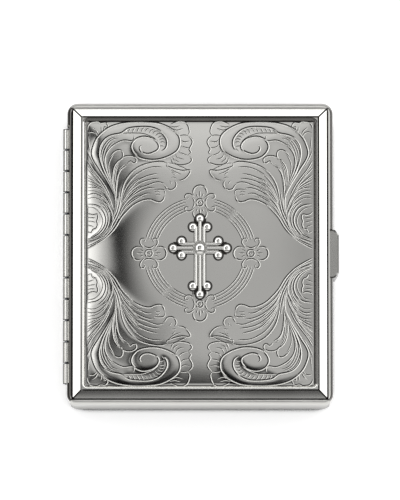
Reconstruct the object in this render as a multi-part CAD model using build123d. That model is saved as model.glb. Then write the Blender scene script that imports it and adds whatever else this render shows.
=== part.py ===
from build123d import *
from math import asin, atan, cos, degrees, sqrt
import os

# A flat metal cigarette case for two layers of cigarettes, closed and lying on its back.
# +X points from the hinge to the catch, +Y along the cigarettes and +Z out of the engraved front.
# The origin is on the surface that the case lies on, under the middle of the body.
# Both halves are the same stamped frame. Each is drawn as the front half stands above the seam,
# which is the plane where the halves meet, and the back half is its mirror image.

os.makedirs("parts", exist_ok=True)

# Body of the case
case_width = 82.5
case_length = 94.0
case_thickness = 21.0
corner_radius = 3.3
sheet = 0.6
seam_gap = 0.15

# Rim, from the side wall in to the panel: rolled edge, mitred bevel, grooved crest and rolled lip
rim_roll = 1.7
bevel_width = 2.5
bevel_rise = 1.2
crest_land = 0.5
crest_edge = 0.07
crest_groove = 0.22
lip_roll = 1.0
lip_drop = 0.25
lip_corner = 0.8
crease_half_width = 0.25
crease_depth = 0.22
mitre_groove_radius = 0.18

# Panels with a shallow cushion shape, and the flat lining plates behind them
panel_sheet = 0.5
panel_crown = 0.45
panel_margin = 0.6
panel_rise = 9.0
liner_sheet = 0.4
liner_overlap = 0.7
liner_corner = 1.0

# Clearances: round a running pin, in the slots that a part moves through, and between seated parts
running_clearance = 0.05
slot_clearance = 0.15
fit_gap = 0.2

# Hinge, let into the side so that the case opens flat
hinge_length = 80.0
hinge_recess = 0.7
hinge_stand_off = 0.1
outer_knuckles = 5
knuckle_gap = 0.3
leaf_sheet = 0.6
leaf_wing = 2.0

# Thumb button and the catch behind it
button_length = 14.9
button_proud = 1.8
button_below_seam = 4.5
button_recess = 1.0
button_chamfer_x = 1.1
button_chamfer_y = 1.7
button_edge = 0.35
button_rivet_radius = 0.6
button_rivet_spacing = 8.0
button_rivet_grip = 1.2
button_rivet_drop = 1.2
button_top_gap = 0.4
rivet_head = 0.35
rivet_head_ratio = 1.65
catch_sheet = 0.6
catch_length = 26.0
hook_width = 3.0
hook_bite = 0.4
keeper_sheet = 0.4
keeper_height = 4.0
keeper_rise = 1.3
keeper_reach = 0.5
spring_strip = 0.3
spring_length = 20.0
spring_foot = 1.5
spring_drop = 1.4
spring_leg = 2.2

# Spring clip that holds the cigarettes down, one in each half
clip_sheet = 0.6
clip_width = 9.0
clip_end_gap = 3.45
clip_end_radius = 3.0
clip_pin_radius = 0.5
clip_pin_inset = 3.85
clip_seam_gap = 0.25
clip_tab_start = 2.2
clip_tab_length = 2.0
ear_sheet = 0.6
ear_trim = 0.05
bracket_foot = 3.6
bracket_rivet_radius = 0.55
bracket_rivet_inset = 2.2
pin_overhang = 0.3
coil_wire = 0.5
coil_pitch = 1.0
coil_full_turns = 2

# Applied cross with three round buds at the end of each arm, and the stud that rivets it on
cross_width = 20.0
cross_above = 10.9
cross_below = 16.1
cross_offset = 1.6
arm_width = 3.9
cross_plate = 0.6
cross_edge = 0.2
reed_radius = 0.6
reed_spacing = 1.25
reed_sink = 0.1
bud_radius = 1.7
bud_dome = 0.7
bud_dome_share = 0.85
bud_neck = 4.3
bud_spread = 2.2
collar_radius = 2.3
stud_radius = 2.0
stud_rise = 1.1
stud_shank = 0.6
stud_tail = 0.3
stud_tail_radius = 1.2

# Sizes that follow. Heights are above the seam
seam_z = case_thickness / 2
half_width = case_width / 2
crest_height = case_thickness / 2
crease_height = crest_height - bevel_rise
under_crease = crease_height - sheet / cos(atan(bevel_rise / bevel_width))
rim_width = rim_roll + bevel_width + crest_land + lip_roll
seat_height = crest_height - lip_roll - lip_drop
seat_inset = rim_roll + (seat_height - under_crease) * bevel_width / bevel_rise
panel_middle = seat_height + panel_crown
liner_top = seat_height - panel_sheet
liner_face = liner_top - liner_sheet
wall_inside = half_width - sheet

hinge_x = -(half_width + hinge_stand_off)
bore_radius = hinge_stand_off + sheet
barrel_radius = bore_radius + leaf_sheet
pin_radius = bore_radius - running_clearance
inner_roll = rim_roll - sheet
recess_past_wall = hinge_recess - sheet
leaf_wing_top = under_crease - inner_roll - fit_gap
leaf_top = (
    under_crease - inner_roll + sqrt(inner_roll**2 - (inner_roll - recess_past_wall) ** 2) - running_clearance
)

lip_end_x = wall_inside - keeper_sheet - keeper_reach
catch_outer_x = lip_end_x - fit_gap
catch_inner_x = catch_outer_x - catch_sheet
button_top = under_crease - button_top_gap
button_rivet_height = -button_rivet_drop
button_rivet_places = (-button_rivet_spacing / 2, button_rivet_spacing / 2)

clip_eye_radius = clip_pin_radius + running_clearance + clip_sheet
clip_pin_x = hinge_x + clip_pin_inset
clip_reach = catch_inner_x - clip_end_gap - clip_pin_x
clip_pin_height = clip_seam_gap + clip_eye_radius
clip_rest_slope = asin((liner_face - fit_gap / 2 - clip_seam_gap - clip_sheet) / clip_reach)
coil_radius = clip_pin_radius + fit_gap + coil_wire / 2
coil_turns = coil_full_turns + (90 + degrees(clip_rest_slope)) / 360
coil_low_y = clip_width / 2 + fit_gap + coil_wire / 2
coil_high_y = coil_low_y + coil_turns * coil_pitch
ear_low_y = -clip_width / 2 - fit_gap
ear_high_y = coil_high_y + coil_wire / 2 + fit_gap
ear_radius = clip_eye_radius - ear_trim
bracket_underside = liner_face - ear_sheet
bracket_rivet_places = (ear_low_y + bracket_rivet_inset, ear_high_y - bracket_rivet_inset)

cross_arms = ((0, cross_above), (90, cross_width / 2), (180, cross_below), (270, cross_width / 2))
collar_top = cross_plate - reed_sink + reed_radius


def to_front(shape):
    """Puts a piece drawn above the seam in the front half."""
    return Pos(0, 0, seam_z) * shape


def to_back(shape):
    """Puts the mirror image of a piece drawn above the seam in the back half."""
    return Pos(0, 0, seam_z) * mirror(shape, about=Plane.XY)


def slab(inset, low, high, radius=0.0):
    """An upright block, inset from the body's outline, with rounded corners if a radius is given."""
    width, length = case_width - 2 * inset, case_length - 2 * inset
    outline = RectangleRounded(width, length, radius) if radius > 0 else Rectangle(width, length)
    return extrude(Plane.XY.offset(low) * outline, high - low)


def span(x_low, x_high, y_low, y_high, low, high):
    """A block between two corners."""
    size = (x_high - x_low, y_high - y_low, high - low)
    middle = ((x_low + x_high) / 2, (y_low + y_high) / 2, (low + high) / 2)
    return Pos(*middle) * Box(*size)


def rod_y(x, height, radius, y_low, y_high):
    """A round bar along Y."""
    return Pos(x, (y_low + y_high) / 2, height) * Rot(90, 0, 0) * Cylinder(radius, y_high - y_low)


def rod_x(y, height, radius, x_low, x_high):
    """A round bar along X."""
    return Pos((x_low + x_high) / 2, y, height) * Rot(0, 90, 0) * Cylinder(radius, x_high - x_low)


def rod_z(x, y, radius, low, high):
    """A round bar along Z."""
    return Pos(x, y, (low + high) / 2) * Cylinder(radius, high - low)


def dome(x, y, radius, low, rise):
    """A flat-bottomed dome."""
    sphere_radius = (radius**2 + rise**2) / (2 * rise)
    ball = Pos(x, y, low + rise - sphere_radius) * Sphere(sphere_radius)
    return ball & rod_z(x, y, radius, low, low + rise)


def rolled_walls(inset, low, top, roll):
    """Upright walls with rounded corners, rolled over at the top."""
    body = slab(inset, low, top, corner_radius - inset)
    return fillet(body.edges().group_by(Axis.Z)[-1], roll)


def hip(inset_low, low, inset_high, high):
    """The four mitred slopes between two square-cornered outlines."""
    outlines = [
        Plane.XY.offset(level) * Rectangle(case_width - 2 * inset, case_length - 2 * inset)
        for inset, level in ((inset_low, low), (inset_high, high))
    ]
    return loft(outlines, ruled=True)


def mitre_grooves():
    """A fine groove up each mitre of the bevel, where its slopes meet."""
    foot = rim_roll - crease_half_width
    grooves = []
    for side_x in (-1, 1):
        for side_y in (-1, 1):
            low, high = (
                Vector(side_x * (case_width / 2 - inset), side_y * (case_length / 2 - inset), height)
                for inset, height in ((foot, crease_height), (rim_roll + bevel_width, crest_height))
            )
            along = Plane(origin=low, z_dir=high - low)
            grooves.append(extrude(along * Circle(mitre_groove_radius), (high - low).length))
    return grooves


def frame_half():
    """One stamped frame: wall, rolled edge, crease, mitred bevel, grooved crest, and the panel's lip."""
    outside = rolled_walls(0, seam_gap / 2, crease_height, rim_roll)
    outside += slab(rim_roll, under_crease, crease_height)
    outside += hip(rim_roll, crease_height, rim_roll + bevel_width, crest_height)
    outside -= slab(rim_width, 0, crest_height + sheet, lip_corner)
    crest = outside.faces().sort_by(Axis.Z)[-1]
    outside = fillet(crest.inner_wires()[0].edges(), lip_roll)
    crease_floor = crease_height - crease_depth
    outside -= slab(rim_roll - crease_half_width, crease_floor, crest_height) - slab(
        rim_roll + crease_half_width, crease_floor, crest_height
    )
    groove_start = rim_roll + bevel_width + crest_edge
    groove_floor = crest_height - crest_groove
    outside -= slab(groove_start, groove_floor, crest_height) - slab(
        groove_start + crest_land - 2 * crest_edge, groove_floor, crest_height
    )
    for groove in mitre_grooves():
        outside -= groove
    inside = rolled_walls(sheet, 0, under_crease, inner_roll)
    inside += hip(rim_roll, under_crease, seat_inset, seat_height)
    return outside - inside


def hinge_notch():
    """The room along the side that the hinge is let into."""
    reach = hinge_length / 2 + slot_clearance
    return span(hinge_x - barrel_radius, hinge_recess - half_width, -reach, reach, 0, crest_height)


def button_notch(top):
    """The slot in the catch side's wall that the thumb button moves in."""
    reach = button_length / 2 + slot_clearance
    return span(half_width - button_recess, half_width + button_proud, -reach, reach, 0, top)


def cushion(edge_height, width):
    """The panel's section across its width: level at the rim, then two arcs up to a flat middle."""
    outer = width / 2
    foot = outer - (rim_width - seat_inset) - panel_margin
    crown = foot - panel_rise
    top = edge_height + panel_crown
    corners = ((-foot, edge_height), (-outer, edge_height), (-outer, 0))
    outline = Polyline(*corners, *((-x, height) for x, height in reversed(corners)))
    outline += Line((crown, top), (-crown, top))
    for side in (-1, 1):
        turn = (side * (foot + crown) / 2, (edge_height + top) / 2)
        outline += TangentArc((side * foot, edge_height), turn, tangent=(-side, 0))
        outline += TangentArc((side * crown, top), turn, tangent=(side, 0))
    return make_face(outline)


def cushion_block(edge_height):
    """A block with the panel's cushion shape on top."""
    width = case_width - 2 * (seat_inset + fit_gap)
    length = case_length - 2 * (seat_inset + fit_gap)
    along_y = extrude(Plane.XZ.offset(-length / 2) * cushion(edge_height, width), length)
    along_x = extrude(Plane.YZ.offset(-width / 2) * cushion(edge_height, length), width)
    return along_y & along_x


def panel_half(has_stud_hole):
    """The thin cushion-shaped panel that shows inside the rim."""
    panel = cushion_block(seat_height) - cushion_block(seat_height - panel_sheet)
    if has_stud_hole:
        panel -= rod_z(0, cross_offset, stud_shank + running_clearance, liner_top, crest_height)
    return panel


def liner_half():
    """The flat plate behind the panel, which the clip's bracket is riveted to."""
    plate = slab(seat_inset - liner_overlap, liner_face, liner_top, liner_corner)
    for y in bracket_rivet_places:
        plate -= rod_z(clip_pin_x, y, bracket_rivet_radius, liner_face, liner_top)
    return plate


def knuckle_spans(first):
    """The low and high Y of each knuckle of one leaf. The middle knuckle is twice as long."""
    middle = outer_knuckles + 1
    slots = [slot for slot in range(2 * middle + 1) if slot != middle]
    ends = [slot * hinge_length / (2 * middle) - hinge_length / 2 for slot in slots]
    pairs = list(zip(ends, ends[1:]))[first::2]
    return [(low + knuckle_gap / 2, high - knuckle_gap / 2) for low, high in pairs]


def hinge_leaf(first):
    """A leaf that closes the notch from inside, with every second knuckle rolled on its edge."""
    leaf_out = hinge_x + bore_radius
    leaf_in = hinge_x + barrel_radius
    strip_low = barrel_radius + slot_clearance
    half = hinge_length / 2
    leaf = span(leaf_out, leaf_in, -half, half, strip_low, leaf_top)
    leaf += span(leaf_out, leaf_in, -half - leaf_wing, half + leaf_wing, strip_low, leaf_wing_top)
    for low, high in knuckle_spans(first):
        leaf += span(leaf_out, leaf_in, low, high, 0, strip_low)
        leaf += rod_y(hinge_x, 0, barrel_radius, low, high)
        leaf -= rod_y(hinge_x, 0, bore_radius, low, high)
    return leaf


def hinge_pin():
    """The wire through all the knuckles."""
    return rod_y(hinge_x, 0, pin_radius, -hinge_length / 2, hinge_length / 2)


def thumb_button():
    """The thumb piece, with chamfered ends, standing proud of the side wall."""
    end = button_length / 2
    outer = half_width + button_proud
    outline = Polyline(
        (catch_outer_x, -end),
        (outer - button_chamfer_x, -end),
        (outer, -end + button_chamfer_y),
        (outer, end - button_chamfer_y),
        (outer - button_chamfer_x, end),
        (catch_outer_x, end),
        close=True,
    )
    body = extrude(Plane.XY.offset(-button_below_seam) * make_face(outline), button_below_seam + button_top)
    outer_edges = body.edges().filter_by(lambda edge: edge.center().X > half_width)
    body = fillet(outer_edges, button_edge)
    for y in button_rivet_places:
        grip_end = catch_outer_x + button_rivet_grip
        body -= rod_x(y, button_rivet_height, button_rivet_radius, catch_outer_x, grip_end)
    return body


def button_rivets():
    """Two short rivets, headed on the inside of the catch bar."""
    rivets = []
    for y in button_rivet_places:
        grip_end = catch_outer_x + button_rivet_grip
        shank = rod_x(y, button_rivet_height, button_rivet_radius, catch_inner_x, grip_end)
        head_start = catch_inner_x - rivet_head
        head_radius = button_rivet_radius * rivet_head_ratio
        head = rod_x(y, button_rivet_height, head_radius, head_start, catch_inner_x)
        rivets.append(shank + head)
    return Compound(children=rivets)


def catch_bar():
    """The plate behind the button, with a hook at each end that holds down the front half's keepers."""
    half = catch_length / 2
    nose_low = keeper_rise + keeper_sheet + slot_clearance
    nose_high = nose_low + catch_sheet
    bar = span(catch_inner_x, catch_outer_x, -half, half, -button_below_seam, catch_sheet)
    for side in (-1, 1):
        inner, outer = sorted((side * (half - hook_width), side * half))
        bar += span(catch_inner_x, catch_outer_x, inner, outer, catch_sheet, nose_high)
        bar += span(catch_outer_x, lip_end_x + hook_bite, inner, outer, nose_low, nose_high)
    for y in button_rivet_places:
        bar -= rod_x(y, button_rivet_height, button_rivet_radius, catch_inner_x, catch_outer_x)
    return bar


def keeper(side):
    """An angle on the front half's wall, whose lip lies under a hook."""
    inner = catch_length / 2 - hook_width - fit_gap
    outer = catch_length / 2 + fit_gap
    low, high = sorted((side * inner, side * outer))
    leg = span(wall_inside - keeper_sheet, wall_inside, low, high, keeper_rise, keeper_rise + keeper_height)
    lip = span(lip_end_x, wall_inside, low, high, keeper_rise, keeper_rise + keeper_sheet)
    return leg + lip


def catch_spring():
    """A bent strip from the back half's wall to the inside of the catch bar, drawn upside down."""
    foot_x = wall_inside - spring_strip / 2
    leg_x = catch_inner_x - spring_strip / 2
    foot_low = button_below_seam + spring_drop
    middle = Polyline(
        (foot_x, foot_low + spring_foot),
        (foot_x, foot_low),
        (leg_x, button_below_seam + fit_gap),
        (leg_x, button_below_seam - spring_leg),
    )
    section = make_face(offset(middle, spring_strip / 2, side=Side.BOTH, kind=Kind.INTERSECTION))
    return extrude(Plane.XZ.offset(-spring_length / 2) * section, spring_length)


def bracket_ear(y_low):
    """An ear of the clip's bracket: from the foot down to a round end about the pin."""
    blade = Polyline(
        (-bracket_foot / 2, bracket_underside),
        (-ear_radius, clip_pin_height),
        (ear_radius, clip_pin_height),
        (bracket_foot / 2, bracket_underside),
        close=True,
    )
    outline = make_face(blade) + Pos(0, clip_pin_height) * Circle(ear_radius)
    plane = Plane(origin=(clip_pin_x, y_low + ear_sheet, 0), x_dir=(1, 0, 0), z_dir=(0, -1, 0))
    return extrude(plane * outline, ear_sheet)


def clip_bracket():
    """A folded bracket: a foot on the liner, and an ear at each end of the clip's pin."""
    left, right = clip_pin_x - bracket_foot / 2, clip_pin_x + bracket_foot / 2
    low, high = ear_low_y - ear_sheet, ear_high_y + ear_sheet
    bracket = span(left, right, low, high, bracket_underside, liner_face)
    bracket += bracket_ear(low)
    bracket += bracket_ear(ear_high_y)
    bracket -= rod_y(clip_pin_x, clip_pin_height, clip_pin_radius, low, high)
    for y in bracket_rivet_places:
        bracket -= rod_z(clip_pin_x, y, bracket_rivet_radius, bracket_underside, liner_face)
    return bracket


def bracket_rivets():
    """Two rivets through a bracket's foot and the liner, headed on the inside."""
    rivets = []
    for y in bracket_rivet_places:
        shank = rod_z(clip_pin_x, y, bracket_rivet_radius, bracket_underside, liner_top)
        head_low = bracket_underside - rivet_head
        head_radius = bracket_rivet_radius * rivet_head_ratio
        head = rod_z(clip_pin_x, y, head_radius, head_low, bracket_underside)
        rivets.append(shank + head)
    return Compound(children=rivets)


def clip_pin():
    """The pin that a clip turns on, a little longer than its bracket."""
    low = ear_low_y - ear_sheet - pin_overhang
    high = ear_high_y + ear_sheet + pin_overhang
    return rod_y(clip_pin_x, clip_pin_height, clip_pin_radius, low, high)


def on_clip(shape):
    """Turns a piece drawn level about the clip's pin to the clip's rest, with its free end on the liner."""
    return Pos(clip_pin_x, 0, clip_pin_height) * Rot(0, -degrees(clip_rest_slope), 0) * shape


def clip_arm():
    """A flat arm with a rolled eye, and a raised side tab that its spring pushes on."""
    edge_y = clip_width / 2
    arm = span(0, clip_reach, -edge_y, edge_y, -clip_eye_radius, clip_sheet - clip_eye_radius)
    ends = arm.edges().filter_by(Axis.Z).filter_by(lambda edge: edge.center().X > clip_reach / 2)
    arm = fillet(ends, clip_end_radius)
    tab_low = coil_wire / 2 + running_clearance - coil_radius
    tab_end = clip_tab_start + clip_tab_length
    tab_edge_y = coil_low_y + coil_wire
    riser_y = edge_y - clip_sheet
    arm += span(clip_tab_start, tab_end, riser_y, edge_y, -clip_eye_radius, tab_low + clip_sheet)
    arm += span(clip_tab_start, tab_end, riser_y, tab_edge_y, tab_low, tab_low + clip_sheet)
    arm += rod_y(0, 0, clip_eye_radius, -edge_y, edge_y)
    arm -= rod_y(0, 0, clip_pin_radius + running_clearance, -edge_y, edge_y)
    return on_clip(arm)


def clip_spring():
    """A torsion spring on the pin: a leg up to the bracket, its turns, and a leg under the clip's tab."""
    helix = Rot(0, 0, 180) * Helix(coil_pitch, coil_turns * coil_pitch, coil_radius)
    start = Plane(origin=helix @ 0, z_dir=helix % 0)
    coil = sweep(start * Circle(coil_wire / 2), path=helix, is_frenet=True)
    laid = Plane(origin=(clip_pin_x, coil_high_y, clip_pin_height), x_dir=(1, 0, 0), z_dir=(0, -1, 0))
    spring = laid.location * coil
    leg_x = clip_pin_x - coil_radius
    spring += rod_z(leg_x, coil_high_y, coil_wire / 2, clip_pin_height, bracket_underside)
    spring += Pos(leg_x, coil_high_y, clip_pin_height) * Sphere(coil_wire / 2)
    leg_end = clip_tab_start + clip_tab_length
    spring += on_clip(rod_x(coil_low_y, -coil_radius, coil_wire / 2, 0, leg_end))
    spring += on_clip(Pos(0, coil_low_y, -coil_radius) * Sphere(coil_wire / 2))
    return spring


def bud_places(length):
    """The middles of the three buds at the end of an arm along +Y."""
    return ((0, length - bud_radius), (-bud_spread, length - bud_neck), (bud_spread, length - bud_neck))


def arm_outline(length):
    """The flat outline of one arm along +Y, with its buds."""
    stem = length - bud_radius
    outline = Pos(0, stem / 2) * Rectangle(arm_width, stem)
    for x, y in bud_places(length):
        outline += Pos(x, y) * Circle(bud_radius)
    return outline


def arm_relief(length):
    """The reeds and domes that stand on one arm along +Y."""
    stem = length - bud_radius
    relief = rod_y(0, cross_plate - reed_sink, reed_radius, 0, stem)
    for x in (-reed_spacing, reed_spacing):
        relief += rod_y(x, cross_plate - reed_sink, reed_radius, 0, length - bud_neck)
    relief &= span(-arm_width, arm_width, 0, length, 0, crest_height)
    for x, y in bud_places(length):
        relief += dome(x, y, bud_radius * bud_dome_share, cross_plate, bud_dome)
    return relief


def cross_ornament():
    """The cross on the panel, a little above the middle of the engraved ring."""
    outline = Circle(collar_radius)
    for turn, length in cross_arms:
        outline += Rot(0, 0, turn) * arm_outline(length)
    cross = extrude(outline, cross_plate)
    cross = fillet(cross.edges().group_by(Axis.Z)[-1], cross_edge)
    for turn, length in cross_arms:
        cross += Rot(0, 0, turn) * arm_relief(length)
    cross += rod_z(0, 0, collar_radius, 0, collar_top)
    cross -= rod_z(0, 0, stud_shank + running_clearance, 0, collar_top)
    return Pos(0, cross_offset, panel_middle) * cross


def cross_stud():
    """A domed stud through the cross and the panel, riveted over behind."""
    behind = -panel_sheet
    stud = rod_z(0, 0, stud_shank, behind, collar_top)
    stud += dome(0, 0, stud_radius, collar_top, stud_rise)
    stud += rod_z(0, 0, stud_tail_radius, behind - stud_tail, behind)
    return Pos(0, cross_offset, panel_middle) * stud


def save(name, shape):
    """Writes one piece under its own name."""
    export_step(shape, f"parts/{name}.step")


frame = frame_half() - hinge_notch()
save("front_frame", to_front(frame - button_notch(crest_height)))
save("back_frame", to_back(frame - button_notch(button_below_seam + slot_clearance)))
save("front_panel", to_front(panel_half(has_stud_hole=True)))
save("back_panel", to_back(panel_half(has_stud_hole=False)))
save("cross_ornament", to_front(cross_ornament()))
save("cross_stud", to_front(cross_stud()))

save("front_hinge_leaf", to_front(hinge_leaf(first=0)))
save("back_hinge_leaf", to_back(hinge_leaf(first=1)))
save("hinge_pin", to_front(hinge_pin()))

save("thumb_button", to_front(thumb_button()))
save("button_rivets", to_front(button_rivets()))
save("catch_bar", to_front(catch_bar()))
save("catch_spring", to_back(catch_spring()))
save("upper_keeper", to_front(keeper(1)))
save("lower_keeper", to_front(keeper(-1)))

for half, place in (("front", to_front), ("back", to_back)):
    save(f"{half}_liner", place(liner_half()))
    save(f"{half}_clip_bracket", place(clip_bracket()))
    save(f"{half}_clip_rivets", place(bracket_rivets()))
    save(f"{half}_clip_pin", place(clip_pin()))
    save(f"{half}_clip_arm", place(clip_arm()))
    save(f"{half}_clip_spring", place(clip_spring()))
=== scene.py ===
"""A flat metal cigarette case, closed and lying on its back, seen from almost straight above."""

import math

import bmesh
import bpy
import numpy as np
from bpy.props import FloatProperty, PointerProperty, StringProperty
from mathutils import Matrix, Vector


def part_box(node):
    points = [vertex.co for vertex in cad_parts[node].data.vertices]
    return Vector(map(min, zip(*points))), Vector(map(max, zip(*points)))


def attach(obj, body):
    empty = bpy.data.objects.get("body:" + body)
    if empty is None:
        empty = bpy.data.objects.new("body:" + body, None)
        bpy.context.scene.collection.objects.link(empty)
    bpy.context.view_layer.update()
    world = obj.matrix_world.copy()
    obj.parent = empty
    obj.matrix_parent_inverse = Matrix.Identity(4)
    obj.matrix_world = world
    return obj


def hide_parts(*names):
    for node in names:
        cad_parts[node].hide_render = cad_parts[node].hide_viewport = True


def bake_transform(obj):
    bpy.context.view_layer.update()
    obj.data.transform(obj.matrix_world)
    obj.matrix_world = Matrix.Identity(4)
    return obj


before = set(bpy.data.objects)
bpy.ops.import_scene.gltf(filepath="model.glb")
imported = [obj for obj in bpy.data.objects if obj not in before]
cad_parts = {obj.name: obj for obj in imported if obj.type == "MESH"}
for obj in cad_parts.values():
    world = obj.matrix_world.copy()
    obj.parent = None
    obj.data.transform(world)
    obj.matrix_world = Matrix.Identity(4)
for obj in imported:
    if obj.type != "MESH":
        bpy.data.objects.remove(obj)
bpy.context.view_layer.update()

bl_info = {
    "name": "Cigarette Case",
    "version": (1, 0, 0),
    "blender": (4, 5, 0),
    "location": "View3D > Sidebar > Cigarette Case",
    "description": "Dresses a hinged metal cigarette case with an engraved lid",
    "category": "Object",
}

MM = 0.001
CREST_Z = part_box("front_frame")[1].z


# Sizes and colours that a user would change


class CigaretteCaseSettings(bpy.types.PropertyGroup):
    """Sizes and colours of the dressed case."""

    nickel: StringProperty(name="Nickel plate", description="Colour of the polished plate", default="#DAD9D5")
    polish: StringProperty(name="Polish", description="Colour of the chased lines' tops", default="#F2F1EC")
    # One dark colour for the patina and for all the painted shade in grooves, joints and on shaded sides
    patina_and_shade: StringProperty(name="Patina", description="Colour of the darkened recesses", default="#3A3836")
    satin: StringProperty(name="Satin lining", description="Colour of the linings and clips", default="#CFCDC8")
    steel: StringProperty(name="Steel", description="Colour of the pins and rivets", default="#C4C3C1")
    spring: StringProperty(name="Spring steel", description="Colour of the tempered springs", default="#8C8E94")
    grid: FloatProperty(
        name="Panel grid", description="Spacing of the panel's points", default=0.45 * MM, unit="LENGTH"
    )
    relief: FloatProperty(
        name="Relief", description="How far the scrolls stand up from the panel", default=0.045 * MM, unit="LENGTH"
    )
    line_width: FloatProperty(
        name="Line width", description="Width of a full chased line with its dark edges", default=0.60 * MM,
        unit="LENGTH",
    )
    line_height: FloatProperty(
        name="Line height", description="How far a full line stands up", default=0.065 * MM, unit="LENGTH"
    )
    camera_tilt: FloatProperty(
        name="Camera tilt", description="How far the camera leans from the vertical", default=math.radians(6.0),
        subtype="ANGLE",
    )
    camera_distance: FloatProperty(
        name="Camera distance", description="From the camera to the lid", default=2.2, unit="LENGTH"
    )
    view_height: FloatProperty(
        name="View height", description="What the picture shows from top to bottom at the lid",
        default=154.9 * MM, unit="LENGTH",
    )


def settings():
    """The user's settings."""
    return bpy.context.scene.cigarette_case


# Materials


def linear(colour):
    """An sRGB hex colour as linear red, green, blue and alpha."""
    parts = [int(colour[i : i + 2], 16) / 255 for i in (1, 3, 5)]
    return [p / 12.92 if p <= 0.04045 else ((p + 0.055) / 1.055) ** 2.4 for p in parts] + [1.0]


def connect(tree, node, links):
    """Sets or connects inputs, by name or in their order. A node stands for its first output that is in use."""
    for name, value in links.items() if isinstance(links, dict) else enumerate(links):
        if isinstance(value, bpy.types.Node):
            value = next(output for output in value.outputs if output.enabled)
        if isinstance(value, bpy.types.NodeSocket):
            tree.links.new(value, node.inputs[name])
        else:
            node.inputs[name].default_value = value


def add(tree, kind, links=(), stops=(), **values):
    """Adds a node: values sets its properties, links its inputs, and stops fills its colour band."""
    node = tree.nodes.new(kind)
    for name, value in values.items():
        setattr(node, name, value)
    connect(tree, node, links)
    for i, (place, value) in enumerate(stops):
        band = node.color_ramp.elements
        element = band[i] if i < len(band) else band.new(1.0)
        element.position = place
        element.color = value if isinstance(value, (list, tuple)) else (value, value, value, 1)
    return node


def new_material(name):
    """An empty material with its output and main shader."""
    material = bpy.data.materials.new(name)
    material.use_nodes = True
    tree = material.node_tree
    tree.nodes.clear()
    shader = add(tree, "ShaderNodeBsdfPrincipled")
    add(tree, "ShaderNodeOutputMaterial", {"Surface": shader})
    return material, tree, shader


def patina_and_shade(depth=1.0):
    """The colour of the patina and of the painted shade in the recesses: a lower depth is darker."""
    return [c * depth for c in linear(settings().patina_and_shade)[:3]] + [1.0]


def polished_metal(name, roughness, painted_shade, spread=0.04):
    """Polished plate: the eye sees clear but slightly soft reflections, with faint wipe marks and hairlines."""
    material, tree, shader = new_material(name)
    place = add(tree, "ShaderNodeTexCoord").outputs["Object"]
    # Wipe marks about 17 mm across, and hairlines 0.17 mm apart and 2.5 mm long
    wiped = add(tree, "ShaderNodeTexNoise", {"Vector": place, "Scale": 60.0, "Detail": 3.0})
    stretched = add(tree, "ShaderNodeMapping", {"Vector": place, "Rotation": (0, 0, 0.5), "Scale": (400, 6000, 400)})
    hairline = add(tree, "ShaderNodeTexNoise", {"Vector": stretched, "Scale": 1.0, "Detail": 2.0})
    plate = linear(settings().nickel)
    look = {
        "Metallic": 1.0,
        "Base Color": add(tree, "ShaderNodeValToRGB", (wiped,), [(0.3, [c * 0.97 for c in plate]), (0.7, plate)]),
        "Roughness": add(tree, "ShaderNodeMapRange", (wiped, 0.3, 0.7, roughness - spread, roughness + spread)),
        "Normal": add(tree, "ShaderNodeBump", {"Height": hairline, "Strength": 0.02, "Distance": 0.05 * MM}),
    }
    # Mixes the painted shade into the base colour, share by share
    for share, depth in painted_shade(tree, place, look):
        look["Base Color"] = add(
            tree, "ShaderNodeMix", {"Factor": share, "A": look["Base Color"], "B": patina_and_shade(depth)}, data_type="RGBA"
        )
    connect(tree, shader, look)
    return material


def brushed_metal(name, colour, roughness, grain):
    """Metal rubbed along one way: the eye sees fine parallel lines and broad soft reflections."""
    material, tree, shader = new_material(name)
    place = add(tree, "ShaderNodeTexCoord").outputs["Object"]
    stretched = add(tree, "ShaderNodeMapping", {"Vector": place, "Scale": grain})
    lines = add(tree, "ShaderNodeTexNoise", {"Vector": stretched, "Scale": 1.0, "Detail": 3.0})
    metal = linear(colour)
    connect(tree, shader, {
        "Metallic": 1.0,
        "Base Color": add(tree, "ShaderNodeValToRGB", (lines,), [(0.3, [c * 0.85 for c in metal]), (0.7, metal)]),
        "Roughness": add(tree, "ShaderNodeMapRange", (lines, 0.3, 0.7, roughness - 0.06, roughness + 0.06)),
        "Normal": add(tree, "ShaderNodeBump", {"Height": lines, "Strength": 0.15, "Distance": 0.03 * MM}),
    })
    return material


# Shapes


def new_object(name, data):
    """A new object in the scene."""
    piece = bpy.data.objects.new(name, data)
    bpy.context.scene.collection.objects.link(piece)
    return piece


def mesh_piece(name, points, faces, material, smooth=True):
    """A new object from points in metres and faces, with its place in its mesh."""
    mesh = bpy.data.meshes.new(name)
    mesh.from_pydata(points, [], faces)
    mesh.materials.append(material)
    mesh.polygons.foreach_set("use_smooth", [smooth] * len(mesh.polygons))
    mesh.update()
    return new_object(name, mesh)


# The panel: half its window in the rim, the joint round it, the radius of its flat middle, and its thickness
WINDOW = Vector((35.55, 41.3)) * MM
PANEL_MARGIN = 0.6 * MM
PANEL_FLAT = 17.0 * MM
PANEL_SHEET = 0.5 * MM


def cushion(x, y, low, crown):
    """The height of the panel at x, y: flat round its middle, and falling ever faster towards its edges."""
    inside_x = np.maximum(WINDOW.x - PANEL_MARGIN - np.abs(x), 1e-9)
    inside_y = np.maximum(WINDOW.y - PANEL_MARGIN - np.abs(y), 1e-9)
    edge = inside_x * inside_y / np.hypot(inside_x, inside_y)
    outside = np.maximum(np.hypot(x, y) - PANEL_FLAT, 0)
    return low + crown * (1 - (outside / (outside + edge)) ** 2)


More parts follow.
